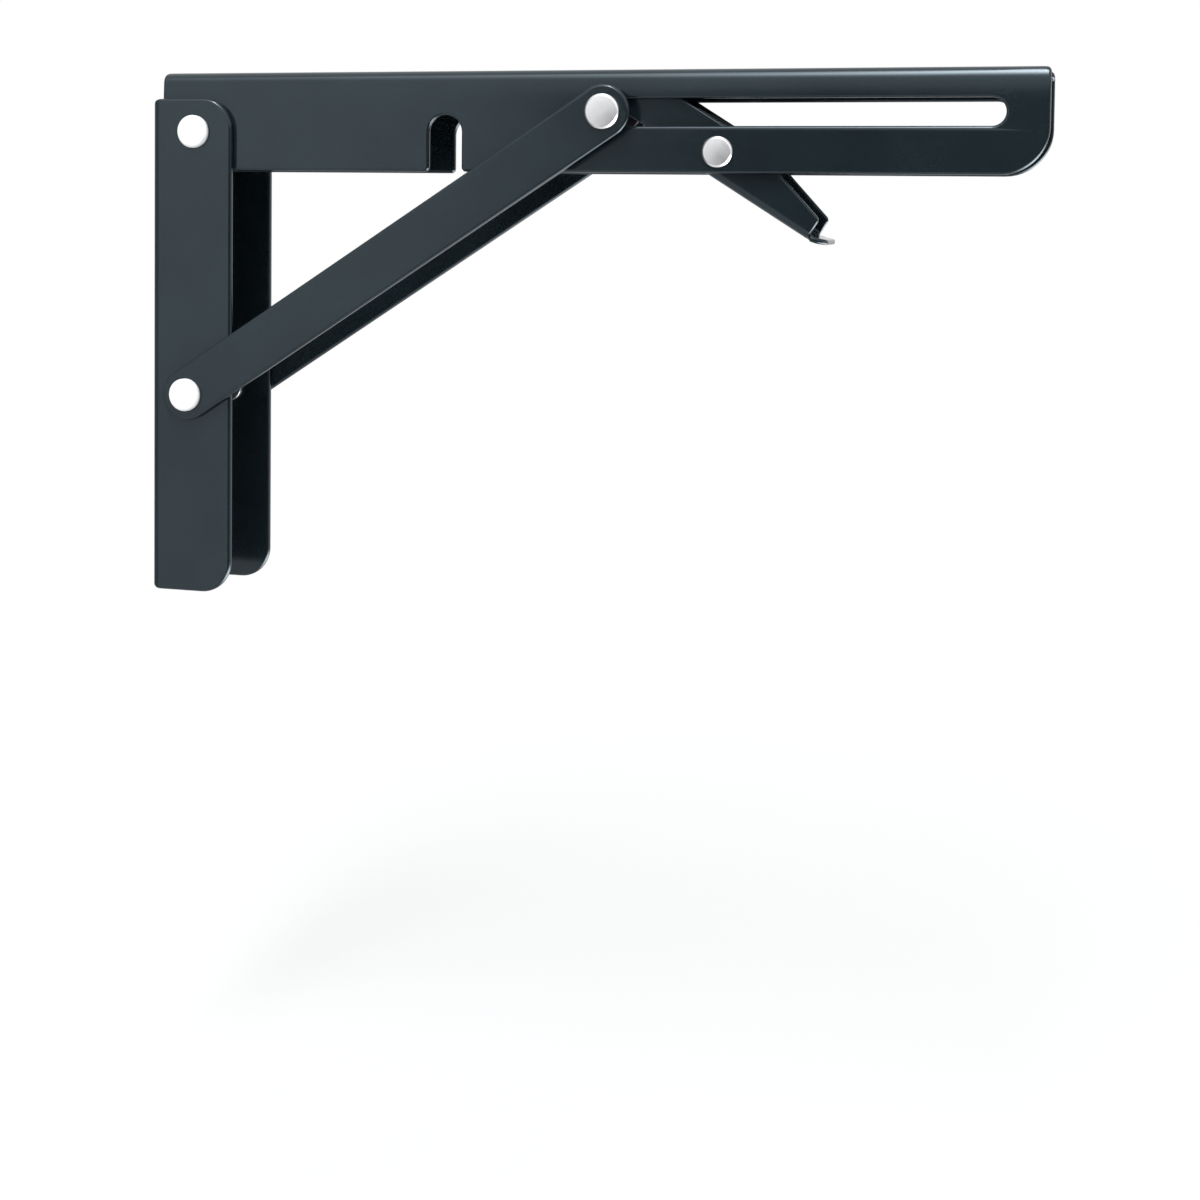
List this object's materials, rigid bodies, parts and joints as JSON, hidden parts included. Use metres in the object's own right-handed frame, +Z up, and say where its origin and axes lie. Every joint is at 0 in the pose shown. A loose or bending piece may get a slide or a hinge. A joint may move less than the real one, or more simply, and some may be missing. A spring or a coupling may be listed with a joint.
{
  "type": "drop leaf table bracket",
  "caption": "Folding bracket that locks a table leaf or shelf level: a wall channel, a hinged arm with a slot, a sliding strut and a sprung release lever.",
  "frame": {"origin": "centre of the three wall screw holes, on the face that lies against the wall", "axes": "+X out along the arm, +Z up, and the bracket is the same on both sides of the XZ plane"},
  "size_m": [0.2526, 0.0356, 0.1496],
  "materials": {
    "black_coating": "satin black powder coat",
    "bright_rivet": "bright nickel plate",
    "spring_steel": "drawn wire"
  },
  "bodies": {
    "wall": {"wall_channel": "black_coating", "arm_pivot_rivet_left": "bright_rivet", "arm_pivot_rivet_right": "bright_rivet", "strut_foot_rivet_left": "bright_rivet", "strut_foot_rivet_right": "bright_rivet"},
    "arm": {"top_arm": "black_coating", "lever_pivot_rivet": "bright_rivet"},
    "strut": {"strut_bar_left": "black_coating", "strut_bar_right": "black_coating", "strut_head_rivet_left": "bright_rivet", "strut_head_rivet_right": "bright_rivet"},
    "slider": {"slot_pin_left": "bright_rivet", "slot_pin_right": "bright_rivet"},
    "lever": {"release_lever": "black_coating", "lever_spring": "spring_steel"}
  },
  "joints": [
    {"name": "arm_fold", "type": "hinge", "parent": "wall", "child": "arm", "pos_m": [0.0136, 0, 0.0616], "axis": [0, 1, 0], "range_deg": [0, 90]},
    {"name": "strut_swing", "type": "hinge", "parent": "wall", "child": "strut", "pos_m": [0.0123, 0, -0.0138], "axis": [0, 1, 0], "range_deg": [0, 120.88]},
    {"name": "pin_slide", "type": "slide", "parent": "arm", "child": "slider", "axis": [1, 0, 0], "range_m": [0, 0.10085]},
    {"name": "lever_press", "type": "hinge", "parent": "arm", "child": "lever", "pos_m": [0.1662, 0, 0.0563], "axis": [0, -1, 0], "range_deg": [0, 33], "stiffness_Nm_per_rad": 0.08, "springref_deg": -34.38, "deforming": ["lever_spring"]}
  ],
  "couplings": [
    {"joint": "strut_swing", "follows": "arm_fold", "ratio": 1.3409},
    {"joint": "pin_slide", "follows": "arm_fold", "m_per_rad": 0.064073}
  ]
}
